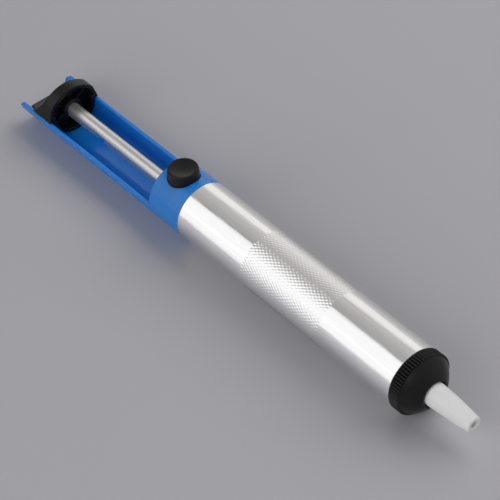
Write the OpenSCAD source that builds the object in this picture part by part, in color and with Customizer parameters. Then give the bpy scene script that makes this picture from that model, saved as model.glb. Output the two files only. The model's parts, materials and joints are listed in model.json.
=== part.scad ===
// Desoldering pump, lying on its side with the release button up.
// The barrel's rear end is the zero of all stations along X, and the nozzle points to +X.

/* [Barrel] */
// Outer diameter of the barrel
barrel_d = 20; // [18:0.5:24]
// Wall of the barrel
barrel_wall = 1; // [0.8:0.1:1.4]
// Length of the barrel
barrel_len = 94; // [90:1:120]

/* [Handle] */
// Length of the collar behind the barrel
collar_len = 14; // [13.6:0.1:18]
// Length of the trough behind the collar
trough_len = 68.5; // [66:0.1:80]
// Wall of the trough
trough_wall = 1.3; // [1:0.1:1.6]
// How far the trough's edges lie below the axis
trough_drop = 0.7; // [0.2:0.1:1.2]
// Radius of the trough's rounded rear corners
trough_corner = 2.4; // [1:0.2:5]
// Length of the spigot inside the barrel
spigot_len = 8; // [6:0.5:9]
// Wall of the spigot
spigot_wall = 1.7; // [1.4:0.1:1.9]
// Thickness of the collar's rear wall
rear_wall = 2; // [1.9:0.1:2.6]
// Wall of the latch chamber
chamber_wall = 2; // [1.8:0.1:2.4]

/* [Plunger] */
// Diameter of the rod
rod_d = 5.2; // [4.6:0.1:5.6]
// Travel of the plunger
travel = 48; // [40:1:48]
// Gap between the knob and the collar when the plunger is cocked
knob_stop_gap = 3.7; // [1:0.1:6]
// How far the knob's sides lie inside the barrel's radius, just above the trough's edges
knob_inset = 0.1; // [0.05:0.05:0.6]
// Lean of the knob's sides, in degrees
side_lean = 17; // [10:1:22]
// How much larger the crown's radius is than the barrel's
crown_gain = 0.8; // [0.4:0.1:2]
// How far the knob's crown lies below the barrel's top
crown_drop = 1.45; // [0.8:0.05:2]
// Length of the knob at its crown
crown_len = 4.2; // [4:0.1:6]
// Wall of the knob's rim
knob_wall = 1.3; // [1:0.1:1.6]
// Depth of the cup in the knob's front
cup_depth = 3.2; // [2:0.1:3.2]
// Height of a web above the cup's floor
web_h = 1.2; // [1:0.1:2]
// How far the thumb scoop's centre lies below the crown
scoop_lip = 0.5; // [0:0.1:1]
// How far the scoop's floor lies below the axis
scoop_drop = 1.05; // [0.8:0.05:1.6]
// How far the scoop's floor is cut short at the rear
scoop_short = 0.9; // [0:0.1:2]
// How deep the rod sits behind the cup's floor
rod_seat = 1.8; // [1.5:0.1:2]
// Diameter of the knob's hub
hub_d = 7; // [6.6:0.1:8]
// How far the hub lies behind the rim's front
hub_set = 0.4; // [0.2:0.1:1]
// Number of webs between hub and rim
web_count = 6; // [3:1:8]
// Thickness of a web
web_t = 0.9; // [0.7:0.1:1.4]
// How far the plunger goes in until it latches
latch_at = 39.6; // [30:0.1:46]
// Length of the latch notch's flat floor
notch_w = 3.1; // [2:0.1:4]
// Length of the ramp behind the notch's floor
notch_ramp = 3.9; // [2:0.1:6]
// Depth of the latch notch
notch_depth = 0.85; // [0.6:0.05:1.1]
// Turn of the notch about the rod, from straight below to the near side, in degrees
notch_turn = 58; // [0:1:70]
// How far the rod's end stands out of the piston nut
rod_end = 1; // [0.5:0.1:2]

/* [Piston] */
// Length of the piston
piston_len = 8; // [6:0.5:10]
// Diameter of the O-ring's section
o_ring_d = 2; // [1.6:0.1:2.2]
// Thickness of the rubber stop
buffer_t = 2; // [1.5:0.1:3]
// Inner diameter of the rubber stop
buffer_bore_d = 8; // [6:0.5:10]
// Thickness of the piston washer
washer_t = 1; // [0.8:0.1:1.5]
// Length of the piston nut
nut_len = 3; // [2:0.1:4]
// Width of the piston nut across corners
nut_d = 9; // [8:0.1:10]
// Diameter of the clearing pin
pin_d = 1.2; // [0.8:0.1:1.4]
// How deep the clearing pin sits in the rod
pin_depth = 8; // [4:0.5:10]
// How far the clearing pin comes out of the nozzle when cocked
pin_reach = 1.5; // [0.5:0.1:3]

/* [Main spring] */
// Mean diameter of the main spring
spring_d = 12.4; // [11.5:0.1:13]
// Diameter of the spring's wire
wire_d = 1; // [0.8:0.1:1.2]
// Number of turns of the main spring
spring_turns = 13; // [9:1:14]

/* [Front cap] */
// How far the ribbed ring stands proud of the barrel
cap_proud = 0.2; // [0:0.05:0.5]
// Length of the ribbed ring
cap_ring_len = 3.7; // [3:0.1:6]
// Number of ribs
rib_count = 64; // [40:1:80]
// Depth of the grooves between ribs
rib_depth = 0.4; // [0.2:0.05:0.6]
// Step from the ring down to the rounded cone
cone_step = 0.6; // [0.3:0.05:1.2]
// Length of the rounded cone
cone_len = 4.7; // [4.4:0.1:6]
// Width of the cap's front face round the nozzle
face_rim = 0.95; // [0.6:0.05:1.6]
// Radius that bulges the cone
cone_bulge_r = 14; // [10:0.5:40]
// Length of the cap's spigot inside the barrel
cap_spigot_len = 9; // [8:0.5:12]
// Thickness of the cap's front wall
cap_front_wall = 2.6; // [2:0.1:3]
// Wall of the cap's spigot
cap_spigot_wall = 2.45; // [2.3:0.05:2.6]
// Diameter of the cap seal's section
cap_seal_d = 1.6; // [1.2:0.1:1.8]
// Distance of the cap seal behind the barrel's end
cap_seal_back = 2.5; // [2:0.1:3]

/* [Nozzle] */
// Length of the nozzle in front of the cap
nozzle_len = 15.6; // [10:0.1:18]
// How far the nozzle's side lies inside the cap's bore
nozzle_inset = 2.75; // [2.7:0.05:3.4]
// Diameter of the nozzle's tip
tip_d = 5; // [4.4:0.1:5.8]
// Radius of the tip's rounded edge
tip_round = 0.6; // [0.3:0.1:0.9]
// Diameter of the nozzle's bore
nozzle_bore_d = 2.4; // [2:0.1:3]
// How far the nozzle bulges halfway to its tip
nozzle_bulge = 0.2; // [0:0.05:0.3]
// Gap between the nozzle's flange and the cap
flange_gap = 0.5; // [0.3:0.1:0.7]
// Thickness of the nozzle's flange
flange_t = 2; // [1.5:0.1:2.5]
// Thickness of the nozzle seal
seal_t = 1; // [0.6:0.1:1.4]
// Wall of the spring seat's sleeve
sleeve_wall = 1.2; // [0.8:0.1:1.6]
// Thickness of the spring seat's flange
seat_t = 1.2; // [0.8:0.1:1.6]

/* [Button] */
// Diameter of the button at its top
button_d = 9.6; // [8.6:0.1:9.8]
// How much larger the button's radius is at the collar
skirt_out = 0.3; // [0.2:0.05:0.5]
// Height above the collar where the button's side begins to lean
skirt_rise = 0.2; // [0.2:0.1:1.1]
// Distance of the button behind the collar's middle
button_back = 0.9; // [0:0.1:1.1]
// Height of the button's top above the collar
button_rise = 2.6; // [2.1:0.1:4]
// Height of the bridge above the latch plate's window
window_bridge = 0.6; // [0.4:0.1:1]
// Travel of the button
button_travel = 2; // [1:0.1:2]
// Radius of the button's edge
button_round = 0.7; // [0.5:0.1:1.5]
// Depth of the dish in the button's top
button_dish = 0.35; // [0.2:0.05:0.6]
// Thickness of the latch plate
plate_t = 1.2; // [0.8:0.1:1.6]
// Width of the latch plate
plate_w = 8; // [7:0.1:9]
// Height of the bar below the latch plate's window
window_bar = 1; // [0.8:0.1:1.3]
// Diameter of the latch plate's foot
foot_d = 4.4; // [4.3:0.1:4.5]
// Thickness of the latch plate's foot
foot_t = 0.8; // [0.6:0.1:1]
// Outer diameter of the rod bush
bush_d = 8; // [6:0.1:8]
// Length of the rod bush
bush_len = 2.4; // [2:0.1:2.4]
// How deep the rod bush sits in the collar's rear wall
bush_seat = 1; // [0.5:0.1:1]
// Mean diameter of the button spring
button_spring_d = 3.8; // [3.4:0.1:4]
// Diameter of the button spring's wire
button_wire_d = 0.5; // [0.4:0.05:0.5]
// Number of turns of the button spring
button_turns = 3; // [2.5:0.5:3]
// Floor left below the button spring's pocket
pocket_floor = 1; // [0.8:0.1:1.4]

/* [Clearances] */
// Radial play of a running fit
running_fit = 0.05; // [0.02:0.01:0.1]
// Radial play of a pressed or seated piece
seat_fit = 0.02; // [0.01:0.01:0.05]
// Gap between pieces that pass each other
free_gap = 0.3; // [0.2:0.05:0.5]
// Gap between two flat faces that meet
face_gap = 0.05; // [0.02:0.01:0.1]

/* [Hidden] */
$fn = 96;

// A small overlap that lets one cut run past a face
eps = 0.1;

barrel_r = barrel_d / 2;
bore_r = barrel_r - barrel_wall;
rod_r = rod_d / 2;

trough_r = barrel_r - trough_wall;
trough_end = -collar_len - trough_len;
chamber_r = barrel_r - chamber_wall;
chamber_rear = -collar_len + rear_wall;
spigot_r = bore_r - running_fit;

buffer_x = spigot_len;
piston_x = buffer_x + buffer_t + free_gap;
piston_front = piston_x + piston_len;
piston_r = bore_r - free_gap;
o_ring_r = o_ring_d / 2;
o_ring_mean = bore_r - running_fit - o_ring_r;
washer_front = piston_front + washer_t;
nut_front = washer_front + nut_len;
rod_front = nut_front + rod_end;

cap_x = barrel_len + face_gap;
cap_r = barrel_r + cap_proud;
ring_front = cap_x + cap_ring_len;
cap_front = ring_front + cone_len;
cap_back = barrel_len - cap_spigot_len;
cap_inner = cap_front - cap_front_wall;
cap_spigot_r = bore_r - running_fit;
cap_bore_r = cap_spigot_r - cap_spigot_wall;
cap_seal_x = barrel_len - cap_seal_back;
cap_seal_r = cap_seal_d / 2;
cap_seal_mean = bore_r - running_fit - cap_seal_r;

nozzle_tip = cap_front + nozzle_len;
flange_front = cap_inner - seal_t;
flange_back = flange_front - flange_t;
nozzle_r = cap_bore_r - nozzle_inset;
flange_r = cap_bore_r - flange_gap;

seat_front = flange_back - face_gap;
seat_face = cap_back - face_gap;
seat_back = seat_face - seat_t;
sleeve_r = cap_bore_r - free_gap;
seat_flange_r = bore_r - free_gap;

knob_front = -collar_len - knob_stop_gap - travel;
knob_side = barrel_r - knob_inset;
knob_low_r = trough_r - free_gap;
knob_shelf = -trough_drop + free_gap;
crown_r = barrel_r + crown_gain;
crown_top = barrel_r - crown_drop;
cup_floor = knob_front - cup_depth;
scoop_r = crown_top + scoop_drop - scoop_lip;
scoop_x = knob_front - crown_len - scoop_r;
scoop_z = scoop_r - scoop_drop;
knob_rear = scoop_x + scoop_short;
rod_back = cup_floor - rod_seat;
pin_back = rod_front - pin_depth;
pin_front = nozzle_tip + pin_reach - travel;

button_x = -collar_len / 2 - button_back;
button_r = button_d / 2;
skirt_r = button_r + skirt_out;
button_top = barrel_r + button_rise;
notch_front = button_x + plate_t / 2 - latch_at;
window_low = -rod_r - free_gap;
window_high = rod_r + free_gap + button_travel;
button_low = window_high + window_bridge;
bush_front = chamber_rear - bush_seat + bush_len;
stem_r = button_x - bush_front - free_gap;
head_low = bush_d / 2 + 2 * free_gap + button_travel;
head_h = button_top - head_low;
window_half = rod_r + free_gap;
foot_low = window_low - window_bar - foot_t;
pocket_low = -barrel_r + pocket_floor;
pocket_r = button_spring_d / 2 + button_wire_d / 2 + free_gap;

// The part lies on the table, with the middle of its length over the origin
middle_x = (trough_end + nozzle_tip) / 2;
axis_z = max(barrel_r, cap_r);

// Puts the barrel's axis at its height above the table
module place() {
    translate([-middle_x, 0, axis_z]) children();
}

// A round bar along the axis from one station to another
module bar(from, to, r) {
    translate([from, 0, 0]) rotate([0, 90, 0]) cylinder(h = to - from, r = r);
}

// A round tube along the axis
module tube(from, to, outer, inner) {
    difference() {
        bar(from, to, outer);
        bar(from - eps, to + eps, inner);
    }
}

// Turns an outline of station and radius about the axis
module turned() {
    rotate([90, 0, 90]) rotate([0, 0, 90]) rotate_extrude() rotate(90) mirror([0, 1]) children();
}

// A ring of round section about the axis
module o_ring(x, mean, r) {
    translate([x, 0, 0]) rotate([0, 90, 0]) rotate_extrude() translate([mean, 0]) circle(r = r, $fn = 32);
}

// Points of one wire ring at a share t of a coil that climbs along Z
function coil_centre(t, mean, low, high, turns) =
    [mean * cos(360 * turns * t), mean * sin(360 * turns * t), low + (high - low) * t];
function coil_ring(t, mean, low, high, turns, wire) = [
    for (side = [0 : 5])
        let (c = coil_centre(t, mean, low, high, turns),
            a = 360 * turns * t,
            out = wire / 2 * cos(60 * side),
            rise = wire / 2 * sin(60 * side))
        [c[0] + out * cos(a), c[1] + out * sin(a), c[2] + rise]];

// A wound spring of six-sided wire, from a low to a high wire centre
module coil(mean, low, high, turns, wire) {
    steps = round(8 * turns);
    rings = [for (i = [0 : steps]) coil_ring(i / steps, mean, low, high, turns, wire)];
    points = [for (ring = rings) for (p = ring) p];
    sides = [for (i = [0 : steps - 1]) for (k = [0 : 5])
        let (a = 6 * i + k, b = 6 * i + (k + 1) % 6)
        each [[a, a + 6, b], [b, a + 6, b + 6]]];
    first_end = [for (k = [1 : 4]) [0, k, k + 1]];
    last = 6 * steps;
    last_end = [for (k = [1 : 4]) [last, last + k + 1, last + k]];
    gap = min([for (i = [0 : steps - 8])
        norm(coil_centre(i / steps, mean, low, high, turns)
            - coil_centre((i + 8) / steps, mean, low, high, turns)) - wire]);
    echo(least_gap_of_coil = gap);
    polyhedron(points, concat(sides, first_end, last_end));
}

// Blue moulding: collar, spigot and open trough in one piece
module handle() {
    color("royalblue") place() difference() {
        union() {
            bar(trough_end, 0, barrel_r);
            bar(-eps, spigot_len, spigot_r);
        }
        translate([trough_end - eps, -barrel_d, -trough_drop])
            cube([trough_len + eps, 2 * barrel_d, 2 * barrel_d]);
        bar(trough_end - eps, -collar_len, trough_r);
        trough_corners();
        bar(chamber_rear, 0, chamber_r);
        bar(-eps, spigot_len + eps, spigot_r - spigot_wall);
        bar(-collar_len - eps, 0, rod_r + free_gap);
        bar(chamber_rear - bush_seat, 0, bush_d / 2 + seat_fit);
        translate([button_x, 0, bush_d / 2 + free_gap])
            cylinder(h = barrel_d, r = skirt_r + running_fit);
        translate([button_x, 0, pocket_low]) cylinder(h = chamber_r, r = pocket_r);
    }
}

// Cut that rounds the two rear corners of the trough's edges
module trough_corners() {
    translate([trough_end, barrel_d, -trough_drop - trough_corner]) rotate([90, 0, 0])
        linear_extrude(2 * barrel_d) difference() {
            translate([-eps, 0]) square([trough_corner + eps, trough_corner + eps]);
            translate([trough_corner, 0]) circle(r = trough_corner);
        }
}

// Aluminium tube
module barrel() {
    color("silver") place() tube(0, barrel_len, barrel_r, bore_r);
}

// Plain bearing of the rod in the collar's rear wall
module rod_bush() {
    color("goldenrod") place() tube(bush_front - bush_len, bush_front, bush_d / 2, rod_r + running_fit);
}

// Rubber stop behind the piston
module buffer_ring() {
    color("dimgray") place() tube(buffer_x, buffer_x + buffer_t, bore_r - free_gap, buffer_bore_d / 2);
}

// Spring that throws the piston back
module main_spring() {
    inset = wire_d / 2 + face_gap;
    color("gray") place() rotate([0, 90, 0])
        coil(spring_d / 2, washer_front + inset, seat_back - inset, spring_turns, wire_d);
}

// Spring that lifts the button
module button_spring() {
    inset = button_wire_d / 2 + face_gap;
    color("gray") place() translate([button_x, 0, 0])
        coil(button_spring_d / 2, pocket_low + inset, foot_low - inset, button_turns, button_wire_d);
}

// Steel rod with the latch notch low in its side: an upright wall in front, a flat floor and a ramp behind
module plunger_rod() {
    // The ramp's line runs on past the rod's surface
    past = 1.2;
    color("lightgray") place() difference() {
        bar(rod_back, rod_front, rod_r);
        rotate([-notch_turn, 0, 0]) translate([notch_front, rod_d, 0]) rotate([90, 0, 0])
            linear_extrude(2 * rod_d)
                polygon([[0, notch_depth - rod_r], [-notch_w, notch_depth - rod_r],
                    [-notch_w - past * notch_ramp, (1 - past) * notch_depth - rod_r],
                    [-notch_w - past * notch_ramp, -rod_d], [0, -rod_d]]);
        bar(pin_back, rod_front + eps, pin_d / 2 + seat_fit);
    }
}

// Section of the knob above the trough's edges: a crown between two leaning sides, inset and cut off below
module crown_section(low, inset) {
    high = low + barrel_r;
    low_side = knob_side - inset / cos(side_lean) - (low - knob_shelf) * tan(side_lean);
    high_side = low_side - barrel_r * tan(side_lean);
    intersection() {
        translate([0, crown_top - crown_r]) circle(r = crown_r - inset, $fn = 128);
        polygon([[-low_side, low], [low_side, low], [high_side, high], [-high_side, high]]);
    }
}

// Carries a section across the axis from one station to another
module carried(from, to) {
    translate([from, 0, 0]) rotate([90, 0, 90]) linear_extrude(to - from) children();
}

// Knob before its cup and scoop are cut: a crowned block above a round foot that runs in the trough
module knob_block() {
    carried(knob_rear, knob_front) crown_section(knob_shelf, 0);
    difference() {
        bar(knob_rear, knob_front, knob_low_r);
        translate([knob_rear - eps, -barrel_r, knob_shelf + eps])
            cube([knob_front - knob_rear + 2 * eps, barrel_d, barrel_d]);
    }
}

// Space inside the knob's cup, with the hub and the webs left standing
module knob_cup() {
    difference() {
        union() {
            carried(cup_floor, knob_front + eps) crown_section(knob_shelf + knob_wall, knob_wall);
            bar(cup_floor, knob_front + eps, knob_low_r - knob_wall);
        }
        bar(cup_floor - eps, knob_front - hub_set, hub_d / 2);
        for (i = [0 : web_count - 1])
            rotate([90 + i * 360 / web_count, 0, 0]) translate([cup_floor - eps, 0, -web_t / 2])
                cube([web_h + eps, barrel_d, web_t]);
    }
}

// Black thumb knob: crowned rim, cup with hub and webs, and a round scoop for the thumb behind
module plunger_knob() {
    color("#202020") place() difference() {
        knob_block();
        knob_cup();
        translate([scoop_x, barrel_d, scoop_z]) rotate([90, 0, 0]) cylinder(h = 2 * barrel_d, r = scoop_r);
        bar(rod_back, knob_front + eps, rod_r + seat_fit);
    }
}

// Piston with its O-ring groove
module piston() {
    middle = piston_x + piston_len / 2;
    half = o_ring_r + free_gap / 2;
    color("whitesmoke") place() difference() {
        bar(piston_x, piston_front, piston_r);
        tube(middle - half, middle + half, barrel_r, o_ring_mean - o_ring_r - seat_fit);
        bar(piston_x - eps, piston_front + eps, rod_r + seat_fit);
    }
}

module piston_o_ring() {
    color("black") place() o_ring(piston_x + piston_len / 2, o_ring_mean, o_ring_r);
}

// Washer that carries the main spring's rear end
module piston_washer() {
    color("silver") place()
        tube(piston_front, washer_front, spring_d / 2 + wire_d + free_gap, rod_r + seat_fit);
}

// Hexagon nut on the rod's end
module piston_nut() {
    color("silver") place() difference() {
        translate([washer_front, 0, 0]) rotate([0, 90, 0]) cylinder(h = nut_len, d = nut_d, $fn = 6);
        bar(washer_front - eps, nut_front + eps, rod_r + seat_fit);
    }
}

// Thin pin that clears the nozzle
module clearing_pin() {
    color("silver") place() bar(pin_back, pin_front, pin_d / 2);
}

// Round button with a skirt, a rounded edge, a shallow dish and a narrow stem below
module release_button() {
    dish_r = button_r - button_round;
    ball_r = (dish_r * dish_r + button_dish * button_dish) / (2 * button_dish);
    color("#181818") place() translate([button_x, 0, 0]) difference() {
        rotate_extrude() union() {
            translate([0, button_low]) square([stem_r, head_low - button_low + eps]);
            polygon([[0, head_low], [skirt_r, head_low], [skirt_r, barrel_r + skirt_rise],
                [button_r, button_top - button_round], [0, button_top - button_round]]);
            translate([0, head_low]) square([button_r - button_round, head_h]);
            translate([button_r - button_round, button_top - button_round]) circle(r = button_round, $fn = 32);
        }
        translate([0, 0, button_top + ball_r - button_dish]) sphere(r = ball_r, $fn = 128);
    }
}

// Plate under the button, with a window round the rod and a foot on the spring
module latch_plate() {
    color("silver") place() translate([button_x, 0, 0]) {
        difference() {
            translate([-plate_t / 2, -plate_w / 2, foot_low + foot_t])
                cube([plate_t, plate_w, button_low - foot_low - foot_t]);
            translate([-plate_t, -window_half, window_low])
                cube([2 * plate_t, 2 * window_half, window_high - window_low]);
        }
        translate([0, 0, foot_low]) cylinder(h = foot_t, d = foot_d);
    }
}

// Flanged sleeve that seats the main spring and holds the nozzle
module spring_seat() {
    color("gainsboro") place() {
        difference() {
            union() {
                bar(seat_back, seat_face, seat_flange_r);
                bar(seat_face - eps, seat_front, sleeve_r);
            }
            bar(seat_back - eps, seat_front + eps, sleeve_r - sleeve_wall);
        }
    }
}

// Outline of the rounded cone, from the ring's front to the cap's face
module cone_outline() {
    start = [ring_front, cap_r - cone_step];
    end = [cap_front, nozzle_r + face_rim];
    chord = end - start;
    half = norm(chord) / 2;
    sag = sqrt(cone_bulge_r * cone_bulge_r - half * half);
    normal = [chord[1], -chord[0]] / norm(chord);
    centre = (start + end) / 2 + normal * sag;
    intersection() {
        translate(centre) circle(r = cone_bulge_r, $fn = 128);
        translate([ring_front - eps, 0]) square([cone_len + eps, cap_r - cone_step]);
    }
}

// Black cap: spigot, ribbed ring, rounded cone
module front_cap() {
    color("#1c1c1c") place() difference() {
        union() {
            bar(cap_back, cap_x + eps, cap_spigot_r);
            bar(cap_x, ring_front, cap_r);
            turned() cone_outline();
        }
        for (i = [0 : rib_count - 1])
            rotate([i * 360 / rib_count, 0, 0]) translate([cap_x - eps, 0, cap_r])
                rotate([45, 0, 0]) translate([0, -rib_depth / 2, -rib_depth / 2])
                    cube([cap_ring_len + eps, rib_depth, rib_depth]);
        bar(cap_back - eps, cap_inner, cap_bore_r);
        bar(cap_inner - eps, cap_front + eps, nozzle_r + free_gap);
        tube(cap_seal_x - cap_seal_r - free_gap / 2, cap_seal_x + cap_seal_r + free_gap / 2,
            barrel_r, cap_seal_mean - cap_seal_r - seat_fit);
    }
}

module cap_seal() {
    color("black") place() o_ring(cap_seal_x, cap_seal_mean, cap_seal_r);
}

// White taper with a flange behind the cap's front wall
module nozzle() {
    tip_r = tip_d / 2;
    half_len = (nozzle_len - tip_round) / 2;
    half_r = (nozzle_r + tip_r) / 2 + nozzle_bulge;
    color("white") place() difference() {
        union() {
            bar(flange_back, flange_front, flange_r);
            bar(flange_front - eps, cap_front, nozzle_r);
            translate([cap_front, 0, 0]) rotate([0, 90, 0])
                cylinder(h = half_len, r1 = nozzle_r, r2 = half_r);
            translate([cap_front + half_len, 0, 0]) rotate([0, 90, 0])
                cylinder(h = half_len, r1 = half_r, r2 = tip_r);
            bar(nozzle_tip - tip_round - eps, nozzle_tip, tip_r - tip_round);
            o_ring(nozzle_tip - tip_round, tip_r - tip_round, tip_round);
        }
        bar(flange_back - eps, nozzle_tip + eps, nozzle_bore_d / 2);
    }
}

// Flat ring between the nozzle's flange and the cap's front wall
module nozzle_seal() {
    color("dimgray") place() tube(flange_front, cap_inner, flange_r, nozzle_r + seat_fit);
}

handle();
barrel();
rod_bush();
buffer_ring();
main_spring();
button_spring();
plunger_rod();
plunger_knob();
piston();
piston_o_ring();
piston_washer();
piston_nut();
clearing_pin();
release_button();
latch_plate();
spring_seat();
front_cap();
cap_seal();
nozzle();
nozzle_seal();
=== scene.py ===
"""Dresses the desoldering pump: barrel, handle, thumb knob, rod, cap, nozzle, button and springs."""
import json
import math

import bmesh
import bpy
import mathutils
import numpy as np
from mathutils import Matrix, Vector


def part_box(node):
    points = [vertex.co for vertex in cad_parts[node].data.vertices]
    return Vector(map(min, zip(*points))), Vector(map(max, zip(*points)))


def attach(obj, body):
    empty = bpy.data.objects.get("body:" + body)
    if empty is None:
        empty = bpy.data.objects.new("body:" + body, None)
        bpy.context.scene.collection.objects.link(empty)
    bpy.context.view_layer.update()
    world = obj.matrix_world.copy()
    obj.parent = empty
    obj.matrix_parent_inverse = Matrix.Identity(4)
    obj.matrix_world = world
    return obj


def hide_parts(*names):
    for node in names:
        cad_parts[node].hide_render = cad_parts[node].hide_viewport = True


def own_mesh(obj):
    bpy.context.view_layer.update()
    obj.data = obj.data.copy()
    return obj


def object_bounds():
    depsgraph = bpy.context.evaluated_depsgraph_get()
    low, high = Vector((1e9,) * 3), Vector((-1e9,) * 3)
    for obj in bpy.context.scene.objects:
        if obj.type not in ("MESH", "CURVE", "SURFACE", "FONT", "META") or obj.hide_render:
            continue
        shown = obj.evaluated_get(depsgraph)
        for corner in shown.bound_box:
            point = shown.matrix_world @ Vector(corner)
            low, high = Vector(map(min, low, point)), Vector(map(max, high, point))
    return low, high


bl_info = {
    "name": "Desoldering pump looks",
    "version": (1, 0, 0),
    "blender": (4, 5, 0),
    "location": "View3D > Sidebar > Pump",
    "description": "Builds the visible surfaces and finishes of a desoldering pump on its packed frame",
    "category": "Object",
}

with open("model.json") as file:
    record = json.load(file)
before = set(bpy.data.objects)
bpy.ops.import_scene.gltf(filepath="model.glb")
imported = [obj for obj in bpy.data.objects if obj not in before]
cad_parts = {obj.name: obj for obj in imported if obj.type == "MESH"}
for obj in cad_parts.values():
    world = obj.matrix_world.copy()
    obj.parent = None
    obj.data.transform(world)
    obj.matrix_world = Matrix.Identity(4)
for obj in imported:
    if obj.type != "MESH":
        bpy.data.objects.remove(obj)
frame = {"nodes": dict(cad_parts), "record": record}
CAD_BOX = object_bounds()
MM = 0.001
COLLAR_LENGTH = 14.0 * MM
SUPPORT_SHARE = 0.3
WELD_DISTANCE = 2e-6
SLIVER_LENGTH = 1e-7


def corners(node):
    """Lowest and highest corner of a node as two arrays, in metres."""
    low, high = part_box(node)
    return np.array(low), np.array(high)


BARREL_LOW, BARREL_HIGH = corners("barrel")
HANDLE_LOW = corners("handle")[0]
KNOB_LOW, KNOB_HIGH = corners("plunger_knob")
ROD_LOW, ROD_HIGH = corners("plunger_rod")
CAP_LOW, CAP_HIGH = corners("front_cap")
NOZZLE_LOW, NOZZLE_HIGH = corners("nozzle")
BUTTON_LOW, BUTTON_HIGH = corners("release_button")
SPRING_LOW, SPRING_HIGH = corners("main_spring")
LIFTER_LOW, LIFTER_HIGH = corners("button_spring")

SEAM_X = float(BARREL_LOW[0])
BARREL_END_X = float(BARREL_HIGH[0])
AXIS_Z = float(BARREL_LOW[2] + BARREL_HIGH[2]) / 2
BARREL_R = float(BARREL_HIGH[1])
ROD_R = float(ROD_HIGH[1])
CAP_R = float(CAP_HIGH[1])
BUTTON_X = float(BUTTON_LOW[0] + BUTTON_HIGH[0]) / 2
SKIRT_R = float(BUTTON_HIGH[1])
COLLAR_X = SEAM_X - COLLAR_LENGTH


def length_property(name, description, millimetres):
    """A length that a user may change, given in millimetres and held in metres."""
    return bpy.props.FloatProperty(
        name=name, description=description, default=millimetres * MM, unit="LENGTH")


def angle_property(name, description, degrees):
    """An angle that a user may change, given in degrees."""
    return bpy.props.FloatProperty(
        name=name, description=description, subtype="ANGLE", default=math.radians(degrees))


def colour_property(name, description, colour):
    """A linear colour that a user may change."""
    return bpy.props.FloatVectorProperty(name=name, description=description, subtype="COLOR", default=colour)


class PumpShape(bpy.types.PropertyGroup):
    """Sizes of the visible details, in metres."""

    barrel_wall: length_property("Barrel wall", "Wall of the barrel", 1.0)
    knurl_start: length_property("Knurl start", "From the barrel's rear end to the knurled band", 29.0)
    knurl_length: length_property("Knurl length", "Length of the knurled band", 35.0)
    knurl_depth: length_property("Knurl depth", "Depth of the diamonds", 0.12)
    knurl_around: bpy.props.IntProperty(
        name="Diamonds around", description="Number of diamonds round the barrel", default=58)
    knurl_pitch: length_property("Knurl pitch", "Length of a diamond along the barrel", 1.75)
    trough_wall: length_property("Trough wall", "Wall of the handle's trough", 1.3)
    trough_drop: length_property("Trough drop", "How far the trough's edges lie below the axis", 0.7)
    trough_corner: length_property("Trough corner", "Radius of the trough's rear corners", 2.4)
    side_lean: angle_property("Side lean", "Lean of the knob's sides", 17)
    crown_radius: length_property("Crown radius", "Radius of the knob's crown", 10.8)
    crown_length: length_property("Crown length", "Length of the knob at its crown", 4.2)
    cup_depth: length_property("Cup depth", "Depth of the cup in the knob's front", 3.2)
    scoop_radius: length_property("Scoop radius", "Radius of the thumb scoop", 9.1)
    scoop_drop: length_property("Scoop drop", "How far the scoop's floor lies below the axis", 1.05)
    knob_wall: length_property("Knob wall", "Wall of the knob's rim", 1.3)
    hub_radius: length_property("Hub radius", "Radius of the knob's hub", 3.5)
    hub_height: length_property("Hub height", "Height of the hub above the cup's floor", 2.8)
    web_count: bpy.props.IntProperty(name="Webs", description="Webs between hub and rim", default=6)
    web_thickness: length_property("Web thickness", "Thickness of a web", 0.9)
    web_height: length_property("Web height", "Height of a web above the cup's floor", 1.2)
    passing_gap: length_property("Passing gap", "Gap between pieces that pass each other", 0.3)
    travel: length_property("Travel", "Travel of the plunger", 48.0)
    rod_half: length_property("Rod half width", "Half the width of the rod above its lower corners", 2.17)
    latch_at: length_property("Latch", "From the latch notch's wall to the button's axis", 39.0)
    notch_width: length_property("Notch width", "Length of the latch notch's floor", 3.1)
    notch_ramp: length_property("Notch ramp", "Length of the ramp behind the notch", 3.9)
    notch_depth: length_property("Notch depth", "Depth of the latch notch", 0.85)
    notch_turn: angle_property("Notch turn", "Turn of the notch from straight below to the near side", 58)
    cap_ring: length_property("Cap ring", "Length of the cap's ribbed ring", 3.7)
    cap_face_radius: length_property("Cap face", "Radius of the cap's front face", 4.7)
    cone_step: length_property("Cone step", "Step from the ring to the cone", 0.6)
    cone_bulge: length_property("Cone bulge", "Radius that bulges the cone", 14.0)
    rib_count: bpy.props.IntProperty(name="Ribs", description="Ribs round the cap", default=64)
    rib_depth: length_property("Rib depth", "Depth between two ribs", 0.55)
    thread_pitch: length_property("Thread pitch", "Pitch of the cap's thread", 1.5)
    nozzle_radius: length_property("Nozzle radius", "Radius of the nozzle at the cap", 3.75)
    tip_radius: length_property("Tip radius", "Radius of the nozzle's tip", 2.5)
    nozzle_bulge: length_property("Nozzle bulge", "How far the nozzle bulges halfway to its tip", 0.2)
    nozzle_bore: length_property("Nozzle bore", "Radius of the nozzle's bore", 1.2)
    nozzle_gap: length_property("Nozzle gap", "Gap round the nozzle in the cap's face", 0.45)
    button_radius: length_property("Button radius", "Radius of the button at its top", 4.8)
    skirt_rise: length_property(
        "Skirt rise", "Height above the collar where the button's side begins to lean", 0.2)
    button_round: length_property("Button edge", "Radius of the button's edge", 0.5)
    button_dish: length_property("Button dish", "Depth of the dish in the button", 0.6)
    spring_turns: bpy.props.FloatProperty(
        name="Spring turns", description="Turns of the main spring", default=13)
    spring_wire: length_property("Spring wire", "Diameter of the main spring's wire", 1.0)
    lifter_turns: bpy.props.FloatProperty(
        name="Button spring turns", description="Turns of the button spring", default=3)
    lifter_wire: length_property("Button spring wire", "Diameter of the button spring's wire", 0.5)


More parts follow.
